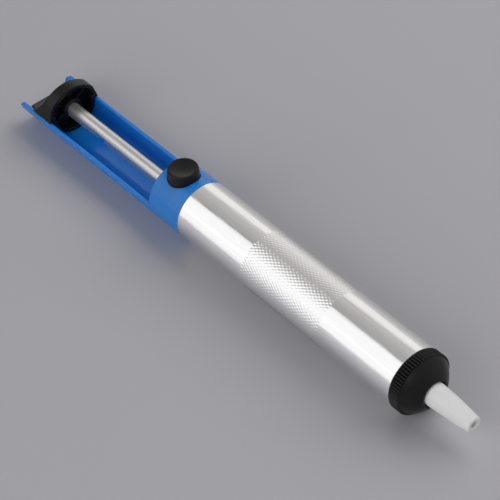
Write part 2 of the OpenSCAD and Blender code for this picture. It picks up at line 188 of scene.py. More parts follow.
class PumpColours(bpy.types.PropertyGroup):
    """Colours of the finishes and the stage, linear."""

    blue: colour_property("Blue", "Handle moulding", (0.013, 0.25, 0.76))
    black: colour_property("Black", "Knob, button and cap", (0.0075, 0.0075, 0.0077))
    white: colour_property("White", "Nozzle", (0.975, 0.975, 1.0))
    aluminium: colour_property("Aluminium", "Barrel", (0.90, 0.90, 0.91))
    steel: colour_property("Steel", "Rod", (0.70, 0.695, 0.69))
    floor: colour_property("Floor", "Table top", (0.53, 0.525, 0.565))


class PumpStage(bpy.types.PropertyGroup):
    """Place, turn and lens of the camera."""

    azimuth: angle_property("Azimuth", "Camera's turn from the side view", 53.862)
    elevation: angle_property("Elevation", "Camera's height above the table", 44.793)
    roll: angle_property("Roll", "Camera's turn about its own line of sight", -5.644)
    distance: length_property("Distance", "From the camera to the aim point", 654.28)
    lens: bpy.props.FloatProperty(name="Lens", description="Focal length", default=157.73, unit="CAMERA")
    aim_station: length_property("Aim", "Aim point along the barrel, from its rear end", 23.457)
    aim_side: length_property("Aim side", "Aim point's shift to the left of the picture", 0.7)


def outline(points, radii, steps=6):
    """A polyline whose corners are arcs that touch both sides.

    A support point before and after each arc holds the sides flat.
    """
    points = np.array(points, float)
    rows = [points[:1]]
    for i in range(1, len(points) - 1):
        corner, radius = points[i], radii[i]
        if radius <= 0:
            rows.append(corner[None])
            continue
        back = points[i - 1] - corner
        ahead = points[i + 1] - corner
        back /= np.linalg.norm(back)
        ahead /= np.linalg.norm(ahead)
        half = math.acos(np.clip(back @ ahead, -1, 1)) / 2
        reach = radius / math.tan(half)
        middle = back + ahead
        centre = corner + middle / np.linalg.norm(middle) * radius / math.sin(half)
        first = corner + back * reach
        last = corner + ahead * reach
        sweep = math.pi - 2 * half
        share = np.linspace(0, 1, steps + 1)[:, None]
        arc = centre + (np.sin((1 - share) * sweep) * (first - centre)
                        + np.sin(share * sweep) * (last - centre)) / math.sin(sweep)
        support = SUPPORT_SHARE * radius
        rows += [(first + back * support)[None], arc, (last + ahead * support)[None]]
    rows.append(points[-1:])
    return np.concatenate(rows)


def lattice_faces(rows, columns, wrap_rows, wrap_columns):
    """Four-cornered faces of a grid, as indices counted row by row."""
    down = np.arange(rows if wrap_rows else rows - 1)
    across = np.arange(columns if wrap_columns else columns - 1)
    i, j = np.meshgrid(down, across, indexing="ij")
    k = (i + 1) % rows
    m = (j + 1) % columns
    return np.stack([i * columns + j, i * columns + m, k * columns + m, k * columns + j], -1).reshape(-1, 4)


def solid(name, grids, crease=40.0):
    """One mesh object from grids, each (points, wrap_rows, wrap_columns), merged where they meet."""
    points, faces, count = [], [], 0
    for grid, wrap_rows, wrap_columns in grids:
        rows, columns = grid.shape[:2]
        points.append(grid.reshape(-1, 3))
        faces.append(lattice_faces(rows, columns, wrap_rows, wrap_columns) + count)
        count += rows * columns
    mesh = bpy.data.meshes.new(name)
    mesh.from_pydata(np.concatenate(points), [], np.concatenate(faces))
    shape = bmesh.new()
    shape.from_mesh(mesh)
    bmesh.ops.remove_doubles(shape, verts=shape.verts, dist=WELD_DISTANCE)
    bmesh.ops.dissolve_degenerate(shape, edges=shape.edges, dist=SLIVER_LENGTH)
    bmesh.ops.recalc_face_normals(shape, faces=shape.faces)
    shape.to_mesh(mesh)
    shape.free()
    mesh.shade_smooth()
    mesh.set_sharp_from_angle(angle=math.radians(crease))
    piece = bpy.data.objects.new(name, mesh)
    bpy.context.scene.collection.objects.link(piece)
    return piece


def round_x(station, radius, angle):
    """Points about the barrel's axis: angle 0 is up, and the arrays are spread against each other."""
    station, radius, angle = np.broadcast_arrays(station, radius, angle)
    return np.stack([station, radius * np.sin(angle), AXIS_Z + radius * np.cos(angle)], -1)


def round_z(height, radius, angle, centre_x):
    """Points about an upright axis through the barrel's axis at centre_x."""
    height, radius, angle = np.broadcast_arrays(height, radius, angle)
    return np.stack([centre_x + radius * np.cos(angle), radius * np.sin(angle), height], -1)


def around(columns):
    """Evenly spread angles of one turn, as a row."""
    return np.linspace(0, 2 * math.pi, columns, endpoint=False)[None]


def dress(piece, body, slot, *nodes):
    """Gives a piece the finish of its slot, lets it ride on a body and stand for its nodes."""
    piece.data.materials.clear()
    piece.data.materials.append(finishes()[slot])
    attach(piece, body)
    if nodes:
        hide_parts(*nodes)


def finish_tree(name):
    """A cleared material, its node tree and its principled shader."""
    material = bpy.data.materials.get(name) or bpy.data.materials.new(name)
    material.use_nodes = True
    tree = material.node_tree
    tree.nodes.clear()
    out = tree.nodes.new("ShaderNodeOutputMaterial")
    shader = tree.nodes.new("ShaderNodeBsdfPrincipled")
    tree.links.new(shader.outputs["BSDF"], out.inputs["Surface"])
    return material, tree, shader


def shared_group(name, inputs, outputs):
    """A new node group with named inputs and number outputs, and its entry, exit and place nodes."""
    group = bpy.data.node_groups.new(name, "ShaderNodeTree")
    for label, kind in inputs:
        group.interface.new_socket(label, in_out="INPUT", socket_type=kind)
    for label in outputs:
        group.interface.new_socket(label, in_out="OUTPUT", socket_type="NodeSocketFloat")
    kinds = ("NodeGroupInput", "NodeGroupOutput", "ShaderNodeTexCoord")
    return group, *(group.nodes.new(kind) for kind in kinds)


def grain_group():
    """Shared grain: fine noise as a height, and slow patches as a mask from 0 to 1. Scales are per metre."""
    name = "moulded_grain"
    if name in bpy.data.node_groups:
        return bpy.data.node_groups[name]
    inputs = (("Grain Scale", "NodeSocketFloat"), ("Patch Scale", "NodeSocketFloat"))
    group, entry, leave, place = shared_group(name, inputs, ("Height", "Patches"))
    for scale, detail, target in (("Grain Scale", 3.0, "Height"), ("Patch Scale", 4.0, "Patches")):
        noise = group.nodes.new("ShaderNodeTexNoise")
        noise.inputs["Detail"].default_value = detail
        group.links.new(place.outputs["Object"], noise.inputs["Vector"])
        group.links.new(entry.outputs[scale], noise.inputs["Scale"])
        group.links.new(noise.outputs["Fac"], leave.inputs[target])
    return group


def lines_group():
    """Shared drawn lines: noise stretched by a vector, as a height and as a mask."""
    name = "drawn_lines"
    if name in bpy.data.node_groups:
        return bpy.data.node_groups[name]
    group, entry, leave, place = shared_group(name, (("Stretch", "NodeSocketVector"),), ("Height", "Mask"))
    links = group.links
    scaled = group.nodes.new("ShaderNodeVectorMath")
    scaled.operation = "MULTIPLY"
    noise = group.nodes.new("ShaderNodeTexNoise")
    noise.inputs["Scale"].default_value = 1.0
    noise.inputs["Detail"].default_value = 4.0
    sharpen = group.nodes.new("ShaderNodeMapRange")
    sharpen.inputs["From Min"].default_value = 0.35
    sharpen.inputs["From Max"].default_value = 0.65
    links.new(place.outputs["Object"], scaled.inputs[0])
    links.new(entry.outputs["Stretch"], scaled.inputs[1])
    links.new(scaled.outputs["Vector"], noise.inputs["Vector"])
    links.new(noise.outputs["Fac"], leave.inputs["Height"])
    links.new(noise.outputs["Fac"], sharpen.inputs["Value"])
    links.new(sharpen.outputs["Result"], leave.inputs["Mask"])
    return group


def place_group(tree, group, values):
    """Puts a node group into a material with its own values."""
    node = tree.nodes.new("ShaderNodeGroup")
    node.node_tree = group
    for name, value in values.items():
        node.inputs[name].default_value = value
    return node


def between(tree, mask, low, high):
    """A value that runs from low to high as the mask runs from 0 to 1."""
    spread = tree.nodes.new("ShaderNodeMapRange")
    spread.inputs["To Min"].default_value = low
    spread.inputs["To Max"].default_value = high
    tree.links.new(mask, spread.inputs["Value"])
    return spread.outputs["Result"]


def tinted(tree, mask, first, second):
    """A colour that runs from first to second as the mask runs from 0 to 1."""
    mix = tree.nodes.new("ShaderNodeMix")
    mix.data_type = "RGBA"
    mix.inputs["A"].default_value = (*first, 1)
    mix.inputs["B"].default_value = (*second, 1)
    tree.links.new(mask, mix.inputs["Factor"])
    return mix.outputs["Result"]


def bumped(tree, height, depth, shader):
    """Feeds a height into the shader's normal at a real depth in metres."""
    bump = tree.nodes.new("ShaderNodeBump")
    bump.inputs["Strength"].default_value = 1.0
    bump.inputs["Distance"].default_value = depth
    tree.links.new(height, bump.inputs["Height"])
    tree.links.new(bump.outputs["Normal"], shader.inputs["Normal"])


def shade(colour, factor):
    """A colour made darker or lighter by a factor."""
    return tuple(min(1.0, c * factor) for c in colour)


def plastic_finish(name, colour, roughness, grain_scale, grain_depth, contrast, shine=0.5):
    """Moulded plastic: slow tone patches, uneven gloss and a fine moulded grain."""
    patch_scale = 160.0
    gloss_spread = 0.06
    material, tree, shader = finish_tree(name)
    grain = place_group(tree, grain_group(), {"Grain Scale": grain_scale, "Patch Scale": patch_scale})
    tone = tinted(tree, grain.outputs["Patches"], shade(colour, 1 - contrast), shade(colour, 1 + contrast))
    tree.links.new(tone, shader.inputs["Base Color"])
    gloss = between(tree, grain.outputs["Patches"], roughness - gloss_spread, roughness + gloss_spread)
    tree.links.new(gloss, shader.inputs["Roughness"])
    bumped(tree, grain.outputs["Height"], grain_depth, shader)
    shader.inputs["Specular IOR Level"].default_value = shine
    return material


def metal_finish(name, colour, roughness, stretch, depth, metallic=1.0):
    """Worked metal: fine drawn or turned lines that change gloss, tone and height."""
    line_shade = 0.95
    gloss_spread = 0.05
    material, tree, shader = finish_tree(name)
    shader.inputs["Metallic"].default_value = metallic
    lines = place_group(tree, lines_group(), {"Stretch": stretch})
    tone = tinted(tree, lines.outputs["Mask"], shade(colour, line_shade), colour)
    tree.links.new(tone, shader.inputs["Base Color"])
    gloss = between(tree, lines.outputs["Mask"], roughness - gloss_spread, roughness + gloss_spread)
    tree.links.new(gloss, shader.inputs["Roughness"])
    bumped(tree, lines.outputs["Height"], depth, shader)
    return material


def scatter(material, weight, radius, scale):
    """Lets light spread under a finish: a radius for each colour, times a scale in metres."""
    shader = material.node_tree.nodes["Principled BSDF"]
    shader.inputs["Subsurface Weight"].default_value = weight
    shader.inputs["Subsurface Radius"].default_value = radius
    shader.inputs["Subsurface Scale"].default_value = scale


def finishes():
    """All finishes by the record's slot names."""
    colours = bpy.context.scene.pump_colours
    white = plastic_finish("white_ptfe", tuple(colours.white), roughness=0.38,
                           grain_scale=2600.0, grain_depth=0.012 * MM, contrast=0.03)
    scatter(white, weight=0.3, radius=(1.0, 1.0, 1.0), scale=2.0 * MM)
    blue = plastic_finish("blue_plastic", tuple(colours.blue), roughness=0.22,
                          grain_scale=450.0, grain_depth=0.002 * MM, contrast=0.04)
    scatter(blue, weight=0.5, radius=(0.1, 0.4, 1.0), scale=1.5 * MM)
    black = plastic_finish("black_plastic", tuple(colours.black), roughness=0.32,
                           grain_scale=3600.0, grain_depth=0.006 * MM, contrast=0.12, shine=0.26)
    barrel = metal_finish("barrel_metal", tuple(colours.aluminium), roughness=0.17,
                          stretch=(160.0, 2200.0, 2200.0), depth=0.0009 * MM)
    rod = metal_finish("rod_steel", tuple(colours.steel), roughness=0.28,
                       stretch=(90.0, 2600.0, 2600.0), depth=0.0008 * MM, metallic=0.8)
    wire = metal_finish("spring_steel", (0.50, 0.50, 0.50), roughness=0.30,
                        stretch=(900.0, 900.0, 900.0), depth=0.004 * MM)
    brass = metal_finish("bush_brass", (0.75, 0.58, 0.28), roughness=0.28,
                         stretch=(3000.0, 300.0, 300.0), depth=0.003 * MM)
    rubber = plastic_finish("black_rubber", (0.02, 0.02, 0.02), roughness=0.62,
                            grain_scale=3000.0, grain_depth=0.03 * MM, contrast=0.2)
    return {finish.name: finish for finish in (blue, black, white, barrel, rod, wire, brass, rubber)}


def knurl(station, angle, pitch, count):
    """Height of the diamonds from 0 to 1: the lower of two tent waves that wind opposite ways, cut flat."""
    steepness = 2.4
    turn = angle * count / (2 * math.pi)
    along = station / pitch
    first = 1 - 2 * np.abs((turn + along) % 1 - 0.5)
    second = 1 - 2 * np.abs((turn - along) % 1 - 0.5)
    return np.minimum(steepness * np.minimum(first, second), 1.0)


class PUMP_OT_barrel(bpy.types.Operator):
    """Aluminium tube: an outline turned about the axis, with a knurled band cut into the middle"""

    bl_idname = "pump.barrel"
    bl_label = "Barrel"

    def execute(self, context):
        shape = context.scene.pump_shape
        bore = BARREL_R - shape.barrel_wall
        edge = 0.22 * MM
        start = SEAM_X + shape.knurl_start
        length = shape.knurl_length
        per_diamond = 7
        run_out = 0.8 * MM
        tolerance = 0.01 * MM
        columns = around(shape.knurl_around * per_diamond)
        ends = outline([[SEAM_X + shape.barrel_wall, bore], [SEAM_X, bore], [SEAM_X, BARREL_R],
                        [start, BARREL_R]], [0, edge, edge, 0])
        row_count = round(length / shape.knurl_pitch * per_diamond)
        band = start + np.arange(1, row_count) * shape.knurl_pitch / per_diamond
        nose = outline([[start + length, BARREL_R], [BARREL_END_X, BARREL_R], [BARREL_END_X, bore],
                        [SEAM_X + shape.barrel_wall, bore]], [0, edge, edge, 0])
        station = np.concatenate([ends[:, 0], band, nose[:, 0]])[:, None]
        radius = np.concatenate([ends[:, 1], np.full(len(band), BARREL_R), nose[:, 1]])[:, None]
        fade = np.clip(np.minimum(station - start, start + length - station) / run_out, 0, 1)
        outside = radius > BARREL_R - tolerance
        cut = shape.knurl_depth * fade * outside
        height = knurl(station - start, columns, shape.knurl_pitch, shape.knurl_around)
        piece = solid("barrel_tube", [(round_x(station, radius - cut * (1 - height), columns), True, True)])
        dress(piece, "housing", "barrel_metal", "barrel")
        return {"FINISHED"}


def wall_top(thickness, edge, steps=5):
    """A wall's rounded top: distances across from the outer side, and drops below the top."""
    turn = np.linspace(0, math.pi / 2, steps)
    near = np.stack([edge * (1 - np.cos(turn)), edge * (1 - np.sin(turn))], -1)
    far = np.stack([thickness - near[::-1, 0], near[::-1, 1]], -1)
    flat = np.stack([np.linspace(edge, thickness - edge, 4)[1:-1], np.zeros(2)], -1)
    return np.concatenate([near, flat, far])


class PUMP_OT_trough(bpy.types.Operator):
    """Open trough: a half ring with rounded edges carried along the axis, its wall rounded off at the rear"""

    bl_idname = "pump.trough"
    bl_label = "Trough"

    def execute(self, context):
        shape = context.scene.pump_shape
        wall = shape.trough_wall
        rear = float(HANDLE_LOW[0])
        overlap = 0.4 * MM
        front = COLLAR_X + overlap
        tip = 0.5 * MM
        edge = 0.42 * MM
        end_taper = 0.05 * MM
        bend_start = 0.55
        tip_rows, bend_rows, length_rows, arc_columns = 9, 14, 40, 66
        opening = np.linspace(0, math.pi / 2, tip_rows)
        rounding = rear + tip * (1 - np.cos(opening))
        bend = rear + shape.trough_corner * (1 - np.cos(np.linspace(bend_start, math.pi / 2, bend_rows)))
        straight = np.linspace(rear + shape.trough_corner, front, length_rows)[1:]
        station = np.unique(np.round(np.concatenate([rounding, bend, straight]), 8))
        swell = np.sqrt(np.clip(1 - (1 - np.clip((station - rear) / tip, 0, 1)) ** 2, 0, 1))
        close = np.clip((front - station) / end_taper, 0, 1)
        thick = wall * np.minimum(swell, close)
        middle = BARREL_R - wall / 2
        left = np.clip(shape.trough_corner - (station - rear), 0, shape.trough_corner)
        top = -shape.trough_drop - shape.trough_corner + np.sqrt(shape.trough_corner ** 2 - left ** 2)
        profile = wall_top(wall, edge)
        across = profile[:, 0] / wall - 0.5
        drop = profile[:, 1][None] * (thick / wall)[:, None]
        radius = middle - across[None] * thick[:, None]
        height = top[:, None] - drop
        side = np.sqrt(np.clip(radius ** 2 - height ** 2, 0, None))
        share = np.linspace(0, 1, arc_columns)[None, 1:-1]

        def arc(r, z):
            """The lower arc of a ring from its near to its far edge at height z."""
            low = np.arcsin(np.clip(z / r, -1, 1))[:, None]
            angle = math.pi - low + share * (math.pi + 2 * low)
            return r[:, None] * np.cos(angle), r[:, None] * np.sin(angle)

        outer_y, outer_z = arc(radius[:, 0], height[:, 0])
        inner_y, inner_z = arc(radius[:, -1], height[:, -1])
        loop_y = np.concatenate([outer_y, side, inner_y[:, ::-1], -side[:, ::-1]], 1)
        loop_z = np.concatenate([outer_z, height, inner_z[:, ::-1], height[:, ::-1]], 1)
        grid = np.stack([np.broadcast_to(station[:, None], loop_y.shape), loop_y, AXIS_Z + loop_z], -1)
        piece = solid("handle_trough", [(grid, False, True)])
        dress(piece, "housing", "blue_plastic", "handle")
        return {"FINISHED"}


class PUMP_OT_collar(bpy.types.Operator):
    """Collar: an outline turned about the axis, and a patch round the button's hole on the same cylinder"""

    bl_idname = "pump.collar"
    bl_label = "Collar"

    def execute(self, context):
        shape = context.scene.pump_shape
        count = 144
        half_window = 16
        rows = 13
        rear_edge = 0.3 * MM
        front_edge = 0.15 * MM
        front_depth = 1.2 * MM
        lip_depth = 3 * MM
        lip_edge = 0.12 * MM
        button_gap = 0.1 * MM
        hole_depth = 1.5 * MM
        hole_edge = 0.2 * MM
        low_x = COLLAR_X + rear_edge * (1 + SUPPORT_SHARE)
        high_x = SEAM_X - front_edge * (1 + SUPPORT_SHARE)
        step = 2 * math.pi / count
        angles = (np.arange(count) * step)[None]
        rod_hole = ROD_R + shape.passing_gap
        back = outline([[COLLAR_X + hole_depth, rod_hole], [COLLAR_X, rod_hole], [COLLAR_X, BARREL_R],
                        [low_x, BARREL_R]], [0, hole_edge, rear_edge, 0])
        nose = outline([[high_x, BARREL_R], [SEAM_X, BARREL_R], [SEAM_X, BARREL_R - front_depth]],
                       [0, front_edge, 0])
        stations = np.linspace(low_x, high_x, rows)
        plain = (np.arange(half_window, count - half_window + 1) * step)[None]
        grids = [
            (round_x(back[:, :1], back[:, 1:], angles), False, True),
            (round_x(nose[:, :1], nose[:, 1:], angles), False, True),
            (round_x(stations[:, None], BARREL_R, plain), False, False),
        ]
        window = np.arange(-half_window, half_window + 1) * step
        rim_x = np.concatenate([np.full(len(window) - 1, low_x), stations[:-1],
                                np.full(len(window) - 1, high_x), stations[:0:-1]])
        rim_turn = np.concatenate([window[:-1], np.full(rows - 1, window[-1]), window[:0:-1],
                                   np.full(rows - 1, window[0])])
        rim_y = BARREL_R * np.sin(rim_turn)
        bearing = np.arctan2(rim_y, rim_x - BUTTON_X)
        hole = SKIRT_R + button_gap
        share = np.linspace(0, 1, 10)[:, None]
        start_x = BUTTON_X + (hole + lip_edge) * np.cos(bearing)
        start_turn = np.arcsin((hole + lip_edge) * np.sin(bearing) / BARREL_R)
        patch = round_x(start_x + (rim_x - start_x) * share, BARREL_R,
                        start_turn + (rim_turn - start_turn) * share)
        lip_turn = np.linspace(0, math.pi / 2, 5)[:, None]
        lip_r = hole + lip_edge * (1 - np.sin(lip_turn))
        lip_drop = lip_edge * (1 - np.cos(lip_turn))
        lip_r = np.concatenate([lip_r, [[hole]]])
        lip_drop = np.concatenate([lip_drop, [[lip_depth]]])
        lip_y = lip_r * np.sin(bearing)
        lip_z = AXIS_Z + np.sqrt(BARREL_R ** 2 - lip_y ** 2) - lip_drop
        lip = np.stack([BUTTON_X + lip_r * np.cos(bearing), lip_y, lip_z], -1)
        grids += [(patch, False, True), (lip, False, True)]
        piece = solid("handle_collar", grids)
        dress(piece, "housing", "blue_plastic")
        return {"FINISHED"}


class PUMP_OT_knob(bpy.types.Operator):
    """Thumb knob: a crowned outline carried along the axis, with a webbed cup in front and a scoop behind"""

    bl_idname = "pump.knob"
    bl_label = "Thumb knob"

    def execute(self, context):
        shape = context.scene.pump_shape
        front = float(KNOB_HIGH[0])
        floor = front - shape.cup_depth
        wall = shape.knob_wall
        outer, inner, fillet, small = 0.35 * MM, 0.25 * MM, 0.4 * MM, 0.15 * MM
        turn = np.linspace(0, math.pi / 2, 6)
        rows = [self.back_row(shape, small, 0.0), self.back_row(shape, 0.0, small)]
        stations = [(front - outer + outer * math.sin(t), outer * (1 - math.cos(t))) for t in turn]
        stations += [(front - inner + inner * math.cos(t), wall - inner + inner * math.sin(t)) for t in turn]
        stations += [(floor + fillet * (1 - math.sin(t)), wall + fillet * (1 - math.cos(t))) for t in turn]
        for station, inset in stations:
            loop = self.loop(shape, inset)
            rows.append(np.insert(loop, 0, station, axis=1))
        edge = rows[-1]
        angle = np.arctan2(edge[:, 1], edge[:, 2])
        hub_front = floor + shape.hub_height
        rod_bite = 0.05 * MM
        rod_seat = shape.rod_half - rod_bite
        seat_depth = 1.5 * MM
        hub_foot = shape.hub_radius + 0.6 * MM
        hub_fillet, hub_edge, seat_edge = 0.3 * MM, 0.35 * MM, 0.15 * MM
        hub = outline([[floor, hub_foot], [floor, shape.hub_radius],
                       [hub_front, shape.hub_radius], [hub_front, rod_seat],
                       [hub_front - seat_depth, rod_seat]], [0, hub_fillet, hub_edge, seat_edge, 0])
        for station, radius in hub:
            ring = [np.full(len(angle), station), radius * np.sin(angle), radius * np.cos(angle)]
            rows.append(np.stack(ring, -1))
        grids = [(np.stack(rows), False, True)]
        grids += self.scoop(shape, small)
        for i in range(shape.web_count):
            grids.append(self.web(shape, floor, 2 * math.pi * i / shape.web_count))
        grids = [(grid + np.array([0, 0, AXIS_Z]), wrap, around_too) for grid, wrap, around_too in grids]
        piece = solid("thumb_knob", grids, crease=30.0)
        dress(piece, "plunger", "black_plastic", "plunger_knob")
        return {"FINISHED"}

    def half(self, shape, inset):
        """Half of the outline across the axis, from the crown's top down the far side to the foot."""
        crown_edge, shelf_edge = 0.35 * MM, 0.3 * MM
        crown_points, foot_points = 26, 48
        lean = shape.side_lean
        crown = shape.crown_radius - inset
        centre = float(KNOB_HIGH[2]) - AXIS_Z - shape.crown_radius
        shelf = shape.passing_gap - shape.trough_drop + inset
        wide = float(KNOB_HIGH[1]) - inset / math.cos(lean) - inset * math.tan(lean)
        narrow = BARREL_R - shape.trough_wall - shape.passing_gap - inset
        crease = math.asin((wide - math.tan(lean) * (centre - shelf)) * math.cos(lean) / crown) - lean
        over = np.linspace(0, crease, crown_points)
        low = math.acos(shelf / narrow)
        under = np.linspace(low, math.pi, foot_points)
        top = np.stack([crown * np.sin(over), centre + crown * np.cos(over)], -1)
        foot = np.stack([narrow * np.sin(under), narrow * np.cos(under)], -1)
        points = np.concatenate([top, [[wide, shelf]], foot])
        radii = np.zeros(len(points))
        radii[crown_points - 1] = crown_edge
        radii[crown_points] = shelf_edge
        return outline(points, radii, 4)

    def loop(self, shape, inset):
        """The whole outline at an inset: one half and its mirror image."""
        half = self.half(shape, inset)
        return np.concatenate([half, half[-2:0:-1] * np.array([-1, 1])])

    def back_x(self, shape, height):
        """Station of the knob's back at a height above the axis: the scoop's arc, cut off at the rear end."""
        centre_x = float(KNOB_HIGH[0]) - shape.crown_length - shape.scoop_radius
        rise = height - (shape.scoop_radius - shape.scoop_drop)
        arc = centre_x + np.sqrt(np.clip(shape.scoop_radius ** 2 - rise ** 2, 0, None))
        return np.maximum(np.where(height < -shape.scoop_drop, float(KNOB_LOW[0]), arc), float(KNOB_LOW[0]))

    def back_row(self, shape, inset, forward):
        """The outline at an inset, laid on the back and moved forward."""
        loop = self.loop(shape, inset)
        return np.insert(loop, 0, self.back_x(shape, loop[:, 1]) + forward, axis=1)

    def scoop(self, shape, inset):
        """The back: rows at the outline's heights, spread between both sides, above and below the shelf."""
        half = self.half(shape, inset)
        shelf = shape.passing_gap - shape.trough_drop + inset
        tolerance = 1e-9
        first = int(np.argmax(half[:, 1] <= shelf + tolerance))
        last = len(half) - 1 - int(np.argmax(half[::-1, 1] >= shelf - tolerance))
        share = half[last, 0] / half[first, 0]
        spread = np.linspace(-1, 1, 25)
        wide = np.concatenate([[-1], spread * share, [1]])
        grids = []
        for part, across in ((half[:first + 1], wide), (half[last:], spread)):
            y = part[:, :1] * across[None]
            z = np.broadcast_to(part[:, 1:], y.shape)
            grids.append((np.stack([self.back_x(shape, z), y, z], -1), False, False))
        return grids

    def web(self, shape, floor, angle):
        """A radial web: a rounded bar section carried from the hub to the rim."""
        half = shape.web_thickness / 2
        crest = floor + shape.web_height
        loop = self.loop(shape, shape.knob_wall)
        turn = np.arctan2(loop[:, 0], loop[:, 1]) % (2 * math.pi)
        order = np.argsort(turn)
        size = np.hypot(loop[:, 0], loop[:, 1])
        reach = np.interp(angle, turn[order], size[order])
        sunk = floor - 0.5 * MM
        overlap = 0.3 * MM
        edge = 0.2 * MM
        section = outline([[sunk, -half], [crest, -half], [crest, half], [sunk, half]], [0, edge, edge, 0])
        radial = np.linspace(shape.hub_radius - overlap, reach + overlap, 6)[:, None]
        along = np.array([math.sin(angle), math.cos(angle)])
        aside = np.array([math.cos(angle), -math.sin(angle)])
        place = radial[..., None] * along + section[None, :, 1:] * aside
        station = np.broadcast_to(section[None, :, 0], place.shape[:2])
        return np.stack([station, place[..., 0], place[..., 1]], -1), False, True


class PUMP_OT_rod(bpy.types.Operator):
    """Plunger rod: half round above with upright sides below, and a ramped latch notch low in its side"""

    bl_idname = "pump.rod"
    bl_label = "Plunger rod"

    def execute(self, context):
        shape = context.scene.pump_shape
        wall = BUTTON_X - shape.latch_at
        floor = wall - shape.notch_width
        back, front = float(ROD_LOW[0]), float(ROD_HIGH[0])
        pole = 0.05 * MM
        edges = [0, 0.2 * MM, 0]
        step = 0.01 * MM
        least = 0.01
        tail = outline([[back, pole], [back, ROD_R], [floor - shape.notch_ramp, ROD_R]], edges, 4)
        nose = outline([[wall + step, ROD_R], [front, ROD_R], [front, pole]], edges, 4)
        ramp = np.linspace(floor - shape.notch_ramp, floor, 25)[1:]
        between_walls = np.concatenate([ramp, [wall]])
        cut = np.stack([between_walls, np.full(len(between_walls), ROD_R)], -1)
        line = np.concatenate([tail, cut, nose])
        station, radius, angle = line[:, :1], line[:, 1:], around(192)
        deep = shape.notch_depth * np.clip((station - floor) / shape.notch_ramp + 1, 0, 1)
        deep = np.where(station <= wall + step / 10, deep, 0)
        flat = (ROD_R - deep) / np.maximum(-np.cos(angle - shape.notch_turn), least)
        upright = np.minimum(shape.rod_half / np.maximum(np.abs(np.sin(angle)), least), ROD_R)
        section = np.where(np.cos(angle) >= 0, shape.rod_half, upright)
        radius = np.minimum(radius, section)
        radius = np.where(deep > 0, np.minimum(radius, flat), radius)
        piece = solid("rod", [(round_x(station, radius, angle), False, True)], crease=25.0)
        dress(piece, "plunger", "rod_steel", "plunger_rod")
        return {"FINISHED"}


class PUMP_OT_cap(bpy.types.Operator):
    """Front cap: an outline turned about the axis, with a cosine wave of ribs and a thread on the spigot"""

    bl_idname = "pump.cap"
    bl_label = "Front cap"

    def execute(self, context):
        shape = context.scene.pump_shape
        rear = float(CAP_LOW[0])
        face = float(CAP_HIGH[0])
        clearance = 0.05 * MM
        ring_rear = BARREL_END_X + clearance
        ring_front = ring_rear + shape.cap_ring
        bore = BARREL_R - shape.barrel_wall
        spigot = bore - clearance
        spigot_wall = 2.45 * MM
        inner = spigot - spigot_wall
        hole = shape.nozzle_radius + shape.nozzle_gap
        seal_x = BARREL_END_X - 2.5 * MM
        seal_half = 0.95 * MM
        seal_floor = spigot - 1.62 * MM
        face_wall = 2.6 * MM
        thread_length = 5.6 * MM
        thread_depth = 0.55 * MM
        thread_start = rear + 0.4 * MM
        row_count, rows_per_turn = 28, 8
        columns_per_rib = 10
        rib_sharpness = 1.3
        rear_edge, front_edge, face_edge, rear_chamfer = 0.2 * MM, 0.12 * MM, 0.3 * MM, 0.3 * MM
        tolerance = 1e-6
        cone = self.cone(shape, ring_front, face)
        thread_rows = np.arange(0, row_count) * shape.thread_pitch / rows_per_turn + thread_start
        thread = np.stack([thread_rows, np.full(len(thread_rows), spigot)], -1)
        neck = outline(
            [[thread_rows[-1], spigot], [seal_x - seal_half, spigot], [seal_x - seal_half, seal_floor],
             [seal_x + seal_half, seal_floor], [seal_x + seal_half, spigot], [ring_rear, spigot],
             [ring_rear, CAP_R], [ring_front, CAP_R], [ring_front, cone[0, 1]], cone[0]],
            [0, 0, 0, 0, 0, 0, rear_edge, front_edge, 0, 0])
        nose = outline(
            [cone[-1], [face, hole], [face - face_wall, hole], [face - face_wall, inner], [rear, inner],
             [rear, spigot - rear_chamfer], thread[0]],
            [0, face_edge, 0, 0, 0, 0, 0])
        line = np.concatenate([thread, neck[1:], cone[1:], nose[1:-1]])
        station, radius = line[:, :1], line[:, 1:]
        columns = around(shape.rib_count * columns_per_rib)
        wave = 0.5 + 0.5 * np.cos(columns * shape.rib_count)
        on_ring = (station >= ring_rear - tolerance) & (station <= ring_front + tolerance)
        on_ring &= radius > cone[0, 1] + clearance
        ribs = shape.rib_depth * on_ring * wave ** rib_sharpness
        winding = (station - rear) / shape.thread_pitch - columns / (2 * math.pi)
        crest = 2 * np.abs(winding % 1 - 0.5)
        on_thread = (station < rear + thread_length) & (radius > spigot - 2 * clearance)
        cut = thread_depth * on_thread * crest
        piece = solid("cap_shell", [(round_x(station, radius - ribs - cut, columns), True, True)])
        dress(piece, "cap", "black_plastic", "front_cap")
        return {"FINISHED"}

    def cone(self, shape, ring_front, face):
        """The rounded cone: an arc of the bulge radius from below the ring's edge to the cap's face."""
        start = np.array([ring_front, CAP_R - shape.cone_step])
        end = np.array([face, shape.cap_face_radius])
        chord = end - start
        half = np.linalg.norm(chord) / 2
        normal = np.array([chord[1], -chord[0]]) / (2 * half)
        centre = (start + end) / 2 + normal * math.sqrt(shape.cone_bulge ** 2 - half ** 2)
        first = math.atan2(*(start - centre)[::-1])
        last = math.atan2(*(end - centre)[::-1])
        angle = np.linspace(first, last, 18)
        return centre + shape.cone_bulge * np.stack([np.cos(angle), np.sin(angle)], -1)


